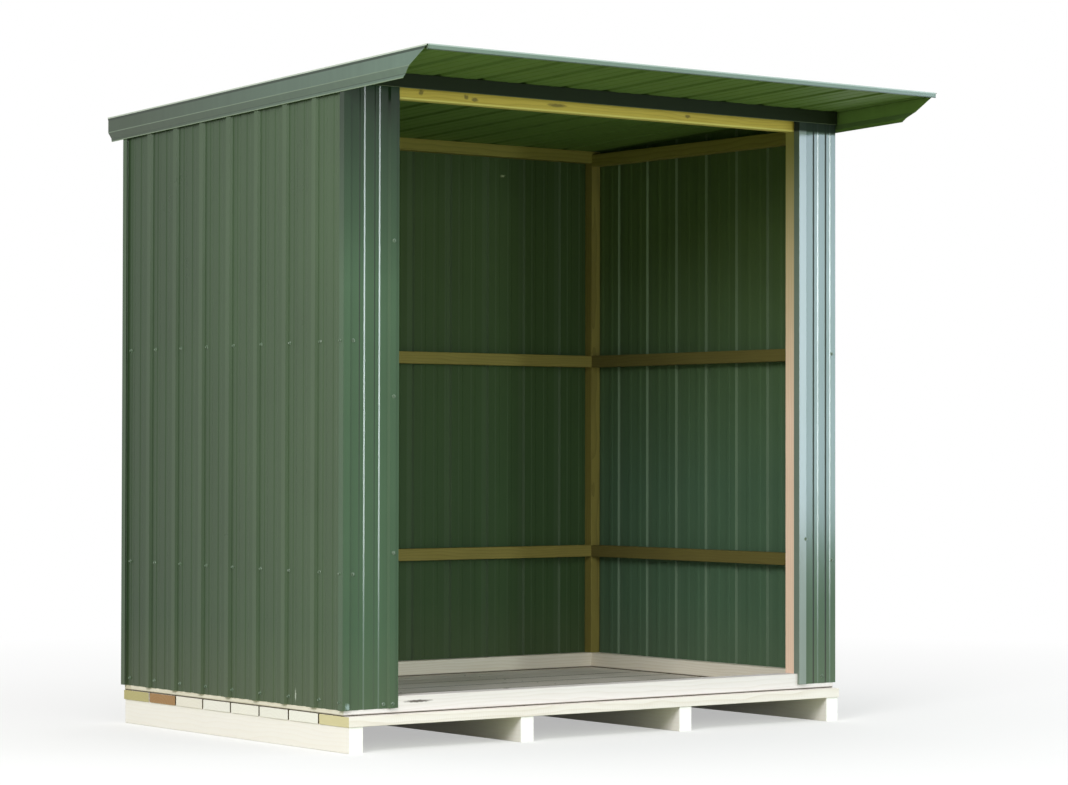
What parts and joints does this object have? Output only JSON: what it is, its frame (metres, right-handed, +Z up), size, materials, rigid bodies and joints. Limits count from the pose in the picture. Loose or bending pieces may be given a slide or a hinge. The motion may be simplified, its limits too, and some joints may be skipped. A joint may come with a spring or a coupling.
{
  "type": "log store",
  "caption": "Open-fronted log store with a timber frame, ribbed steel walls and roof, and a slatted floor raised on bearers.",
  "frame": {"origin": "on the ground under the middle of the roof's plan, which is the bounding box's bottom centre", "axes": "+Z up, +X towards the right-hand wall as seen from the open front, +Y from the open front towards the rear wall"},
  "size_m": [2.3276, 2.1136, 2.3712],
  "materials": {
    "bearer_timber": "sawn, pressure-treated softwood",
    "floor_timber": "sawn softwood boards, lightly weathered",
    "frame_timber": "planed softwood, bare",
    "wall_steel": "factory-coated green, satin",
    "roof_steel": "factory-coated green, satin",
    "trim_steel": "factory-coated green, satin"
  },
  "bodies": {
    "root": {"barge_left": "trim_steel", "barge_right": "trim_steel", "bearer_1": "bearer_timber", "bearer_2": "bearer_timber", "bearer_3": "bearer_timber", "bearer_4": "bearer_timber", "bottom_plate_front": "frame_timber", "bottom_plate_left": "frame_timber", "bottom_plate_rear": "frame_timber", "bottom_plate_right": "frame_timber", "fascia": "trim_steel", "floor_board_1": "floor_timber", "floor_board_2": "floor_timber", "floor_board_3": "floor_timber", "floor_board_4": "floor_timber", "floor_board_5": "floor_timber", "floor_board_6": "floor_timber", "floor_board_7": "floor_timber", "floor_board_8": "floor_timber", "front_header": "frame_timber", "front_panel_left": "wall_steel", "front_panel_right": "wall_steel", "jamb_left": "frame_timber", "jamb_right": "frame_timber", "left_wall_sheets": "wall_steel", "post_front_left": "frame_timber", "post_front_right": "frame_timber", "post_rear_left": "frame_timber", "post_rear_right": "frame_timber", "rail_left_lower": "frame_timber", "rail_left_mid": "frame_timber", "rail_rear_lower": "frame_timber", "rail_rear_mid": "frame_timber", "rail_right_lower": "frame_timber", "rail_right_mid": "frame_timber", "rear_wall_sheets": "wall_steel", "right_wall_sheets": "wall_steel", "roof_front_flashing": "trim_steel", "roof_rear_flashing": "trim_steel", "roof_sheets": "roof_steel", "top_plate_left": "frame_timber", "top_plate_rear": "frame_timber", "top_plate_right": "frame_timber"}
  },
  "joints": []
}
